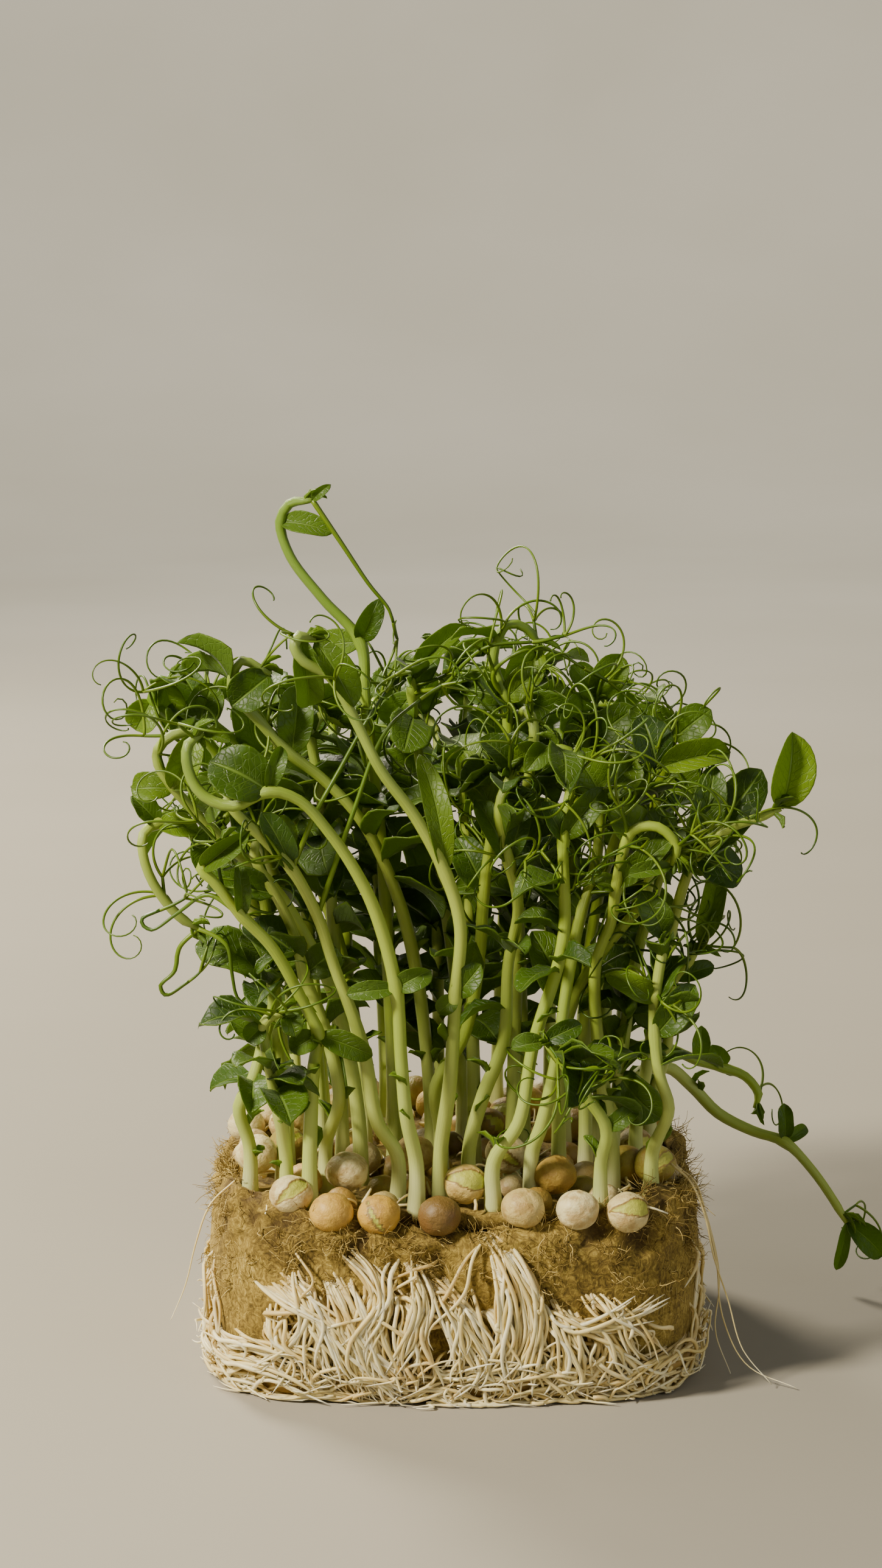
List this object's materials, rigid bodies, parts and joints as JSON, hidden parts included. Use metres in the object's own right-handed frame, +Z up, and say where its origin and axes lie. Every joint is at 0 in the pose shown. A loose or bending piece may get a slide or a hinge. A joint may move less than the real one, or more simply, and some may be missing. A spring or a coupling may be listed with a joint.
{
  "type": "pea shoot microgreens",
  "caption": "Block of pea shoot microgreens lifted out of its tray: felt growing mat in its own root mat, soaked peas on top, and tall leafy shoots with tendrils.",
  "frame": {"origin": "centre of the flat base of the root mat, on the surface it stands on", "axes": "+Z up; -Y towards the pictured side; +X to the right of that side, where one shoot has toppled over the edge"},
  "size_m": [0.1646, 0.1251, 0.185],
  "materials": {
    "felt": "damp golden-brown plant-fibre felt, fluffy at its top edge",
    "root": "cream-white young roots, moist and slightly glossy",
    "pea": "soaked seed coats, cream to golden, some greenish, softly shiny",
    "shoot": "pale green stems and dark green leaves with a faint waxy bloom"
  },
  "bodies": {
    "root": {"growing_mat": "felt", "root_mat": "root", "seed_layer": "pea", "shoot_01": "shoot", "shoot_02": "shoot", "shoot_03": "shoot", "shoot_04": "shoot", "shoot_05": "shoot", "shoot_06": "shoot", "shoot_07": "shoot", "shoot_08": "shoot", "shoot_09": "shoot", "shoot_10": "shoot", "shoot_11": "shoot", "shoot_12": "shoot", "shoot_13": "shoot", "shoot_14": "shoot", "shoot_15": "shoot", "shoot_16": "shoot", "shoot_17": "shoot", "shoot_18": "shoot", "shoot_19": "shoot", "shoot_20": "shoot", "shoot_21": "shoot", "shoot_22": "shoot", "shoot_23": "shoot", "shoot_24": "shoot", "shoot_25": "shoot", "shoot_26": "shoot", "shoot_27": "shoot", "shoot_28": "shoot", "shoot_29": "shoot", "shoot_30": "shoot", "shoot_31": "shoot", "shoot_32": "shoot", "shoot_33": "shoot", "shoot_34": "shoot", "shoot_35": "shoot", "shoot_36": "shoot", "shoot_37": "shoot", "shoot_38": "shoot", "shoot_39": "shoot", "shoot_40": "shoot", "shoot_41": "shoot", "shoot_42": "shoot", "shoot_43": "shoot", "shoot_44": "shoot", "shoot_45": "shoot", "shoot_46": "shoot", "shoot_47": "shoot", "shoot_48": "shoot", "shoot_49": "shoot", "shoot_50": "shoot"}
  },
  "joints": []
}
